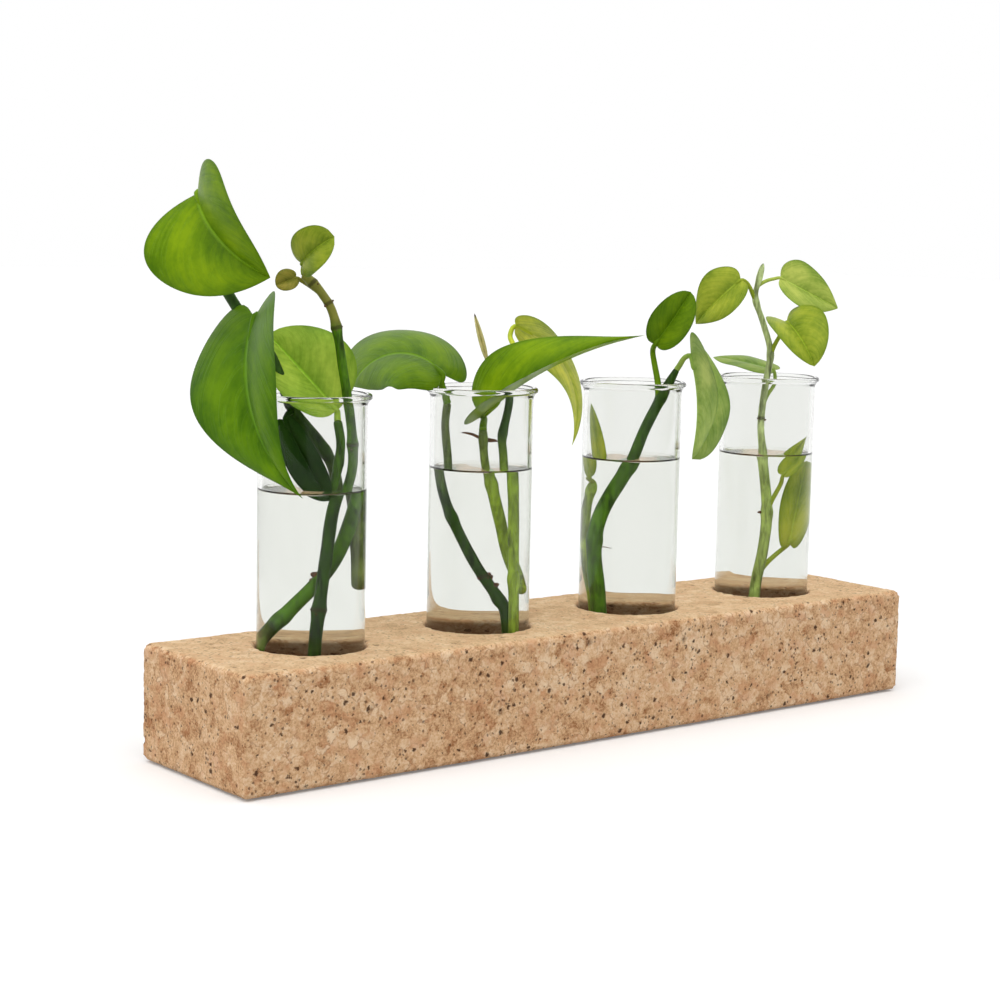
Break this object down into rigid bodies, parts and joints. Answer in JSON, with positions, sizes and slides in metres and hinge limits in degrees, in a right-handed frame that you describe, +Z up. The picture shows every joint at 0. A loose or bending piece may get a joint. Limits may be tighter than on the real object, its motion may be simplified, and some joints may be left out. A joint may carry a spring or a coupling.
{
  "type": "propagation planter",
  "caption": "Cork block with blind sockets holding a row of lipped glass tubes, each with water and rooted trailing-vine cuttings that lift out.",
  "frame": {"origin": "centre of the cork block's underside", "axes": "+X along the row of tubes, +Y to the back, +Z up"},
  "size_m": [0.3047, 0.0852, 0.1973],
  "materials": {
    "cork": "sanded pressed cork, matt, with pores and dark granules",
    "clear_glass": "clear, fire-polished lip",
    "water": "clear still water",
    "stem": "smooth green stem with darker leaf nodes",
    "leaf": "waxy gloss, pale midrib",
    "pale_leaf": "pale young leaf, half gloss"
  },
  "bodies": {
    "block": {"cork_block": "cork"},
    "tube_1": {"glass_tube_1": "clear_glass", "water_1": "water"},
    "tube_2": {"glass_tube_2": "clear_glass", "water_2": "water"},
    "tube_3": {"glass_tube_3": "clear_glass", "water_3": "water"},
    "tube_4": {"glass_tube_4": "clear_glass", "water_4": "water"},
    "cutting_1": {"cutting_1_short_stem": "stem", "cutting_1_leader_stem": "stem", "cutting_1_vine_stem": "stem", "cutting_1_top_leaf": "leaf", "cutting_1_hanging_leaf": "leaf", "cutting_1_mouth_leaf": "leaf", "cutting_1_shaded_leaf": "leaf", "cutting_1_young_leaf": "leaf", "cutting_1_leaf_bud": "leaf"},
    "cutting_2": {"cutting_2_left_stem": "stem", "cutting_2_middle_stem": "stem", "cutting_2_right_stem": "stem", "cutting_2_arched_leaf": "leaf", "cutting_2_long_leaf": "leaf", "cutting_2_drooping_leaf": "leaf", "cutting_2_rolled_leaf": "pale_leaf"},
    "cutting_3": {"cutting_3_thick_stem": "stem", "cutting_3_pale_shoot": "stem", "cutting_3_upright_leaf": "leaf", "cutting_3_side_leaf": "leaf", "cutting_3_shoot_leaf": "pale_leaf"},
    "cutting_4": {"cutting_4_leader_stem": "stem", "cutting_4_left_leaf": "leaf", "cutting_4_right_leaf": "leaf", "cutting_4_lower_leaf": "leaf", "cutting_4_lip_leaf": "leaf", "cutting_4_neck_leaf": "leaf", "cutting_4_water_leaf": "leaf"}
  },
  "joints": [
    {"name": "tube_1_lift", "type": "slide", "parent": "block", "child": "tube_1", "axis": [0, 0, 1], "range_m": [0, 0.04]},
    {"name": "tube_2_lift", "type": "slide", "parent": "block", "child": "tube_2", "axis": [0, 0, 1], "range_m": [0, 0.04]},
    {"name": "tube_3_lift", "type": "slide", "parent": "block", "child": "tube_3", "axis": [0, 0, 1], "range_m": [0, 0.04]},
    {"name": "tube_4_lift", "type": "slide", "parent": "block", "child": "tube_4", "axis": [0, 0, 1], "range_m": [0, 0.04]},
    {"name": "cutting_1_lift", "type": "slide", "parent": "tube_1", "child": "cutting_1", "axis": [0, 0, 1], "range_m": [0, 0.115], "deforming": ["water_1"]},
    {"name": "cutting_2_lift", "type": "slide", "parent": "tube_2", "child": "cutting_2", "axis": [0, 0, 1], "range_m": [0, 0.115], "deforming": ["water_2"]},
    {"name": "cutting_3_lift", "type": "slide", "parent": "tube_3", "child": "cutting_3", "axis": [0, 0, 1], "range_m": [0, 0.115], "deforming": ["water_3"]},
    {"name": "cutting_4_lift", "type": "slide", "parent": "tube_4", "child": "cutting_4", "axis": [0, 0, 1], "range_m": [0, 0.115], "deforming": ["water_4"]}
  ]
}
